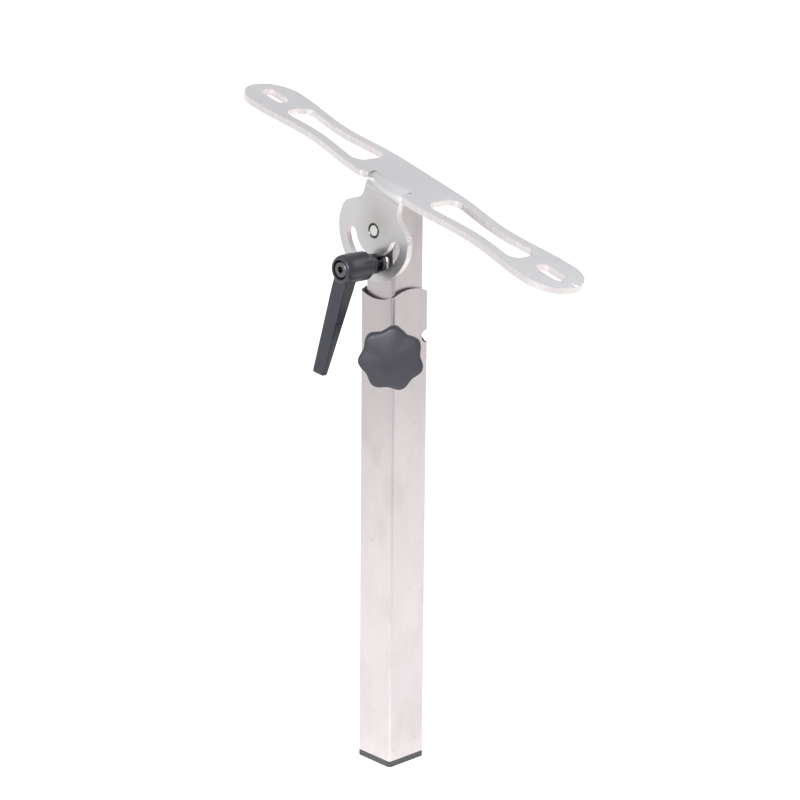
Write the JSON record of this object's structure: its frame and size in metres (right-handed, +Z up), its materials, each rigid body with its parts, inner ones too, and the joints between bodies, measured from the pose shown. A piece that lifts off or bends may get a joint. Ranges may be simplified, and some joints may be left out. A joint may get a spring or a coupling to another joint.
{
  "type": "tilting head support stand post",
  "caption": "Square telescoping stand post with a slotted tilting head plate, held by a clamping lever, and a star knob that clamps the height.",
  "frame": {"origin": "middle of the foot's underside, on the post's axis", "axes": "+Z up along the post; +X along the head plate's long side, seen from the front, with the +X end down at rest; the flange and the lever stand on the -Y side"},
  "size_m": [0.2823, 0.0781, 0.4226],
  "materials": {
    "stainless": "satin, fine lengthwise grain",
    "head_stainless": "bead-blasted satin",
    "zinc_steel": "bright zinc plate",
    "black_plastic": "moulded, slightly glossy",
    "black_steel": "black oxide",
    "screw_steel": "dark grey oxide",
    "lever_coating": "fine matt texture",
    "knob_plastic": "fine matt texture",
    "brass": "turned"
  },
  "bodies": {
    "post": {"outer_tube": "stainless", "foot_plug": "black_plastic", "clamp_boss": "stainless"},
    "mast": {"inner_tube": "stainless", "mast_foot_plug": "black_plastic", "mast_top_cap": "black_plastic", "pivot_pin": "zinc_steel", "pivot_spacer": "zinc_steel", "pivot_rear_washer": "zinc_steel", "clamp_nut": "stainless", "stud_spacer": "zinc_steel", "friction_washer": "black_plastic"},
    "head": {"head_bracket": "head_stainless"},
    "clamp_carriage": {"clamp_washer": "black_steel"},
    "clamp_screw": {"clamp_stud": "black_steel", "lever_insert": "black_steel", "lever_screw": "screw_steel", "lever_spring": "zinc_steel"},
    "lever": {"lever_handle": "lever_coating"},
    "shoe": {"corner_shoe": "brass"},
    "knob": {"knob_stud": "zinc_steel", "knob_insert": "zinc_steel", "knob_head": "knob_plastic"}
  },
  "joints": [
    {"name": "mast_slide", "type": "slide", "parent": "post", "child": "mast", "axis": [0, 0, 1], "range_m": [-0.01, 0.19]},
    {"name": "head_tilt", "type": "hinge", "parent": "mast", "child": "head", "pos_m": [0, 0, 0.349], "axis": [0, 1, 0], "range_deg": [-77, 66]},
    {"name": "clamp_travel", "type": "slide", "parent": "mast", "child": "clamp_carriage", "axis": [0, -1, 0], "range_m": [-0.00048611, 0.000069444]},
    {"name": "lever_turn", "type": "hinge", "parent": "clamp_carriage", "child": "clamp_screw", "pos_m": [0, -0.02, 0.3285], "axis": [0, -1, 0], "range_deg": [-140, 20]},
    {"name": "lever_lift", "type": "slide", "parent": "clamp_screw", "child": "lever", "axis": [0, -1, 0], "range_m": [0, 0.0022], "stiffness_N_per_m": 1500, "springref_m": -0.002, "deforming": ["lever_spring"]},
    {"name": "shoe_travel", "type": "slide", "parent": "post", "child": "shoe", "axis": [0.7071, -0.7071, 0], "range_m": [-0.00021, 0.0025]},
    {"name": "knob_turn", "type": "hinge", "parent": "shoe", "child": "knob", "pos_m": [0.035, -0.035, 0.281], "axis": [0.7071, -0.7071, 0], "range_deg": [-60, 720]}
  ],
  "couplings": [
    {"joint": "lever_turn", "follows": "clamp_travel", "rad_per_m": 5026.5},
    {"joint": "knob_turn", "follows": "shoe_travel", "rad_per_m": 5026.5}
  ]
}
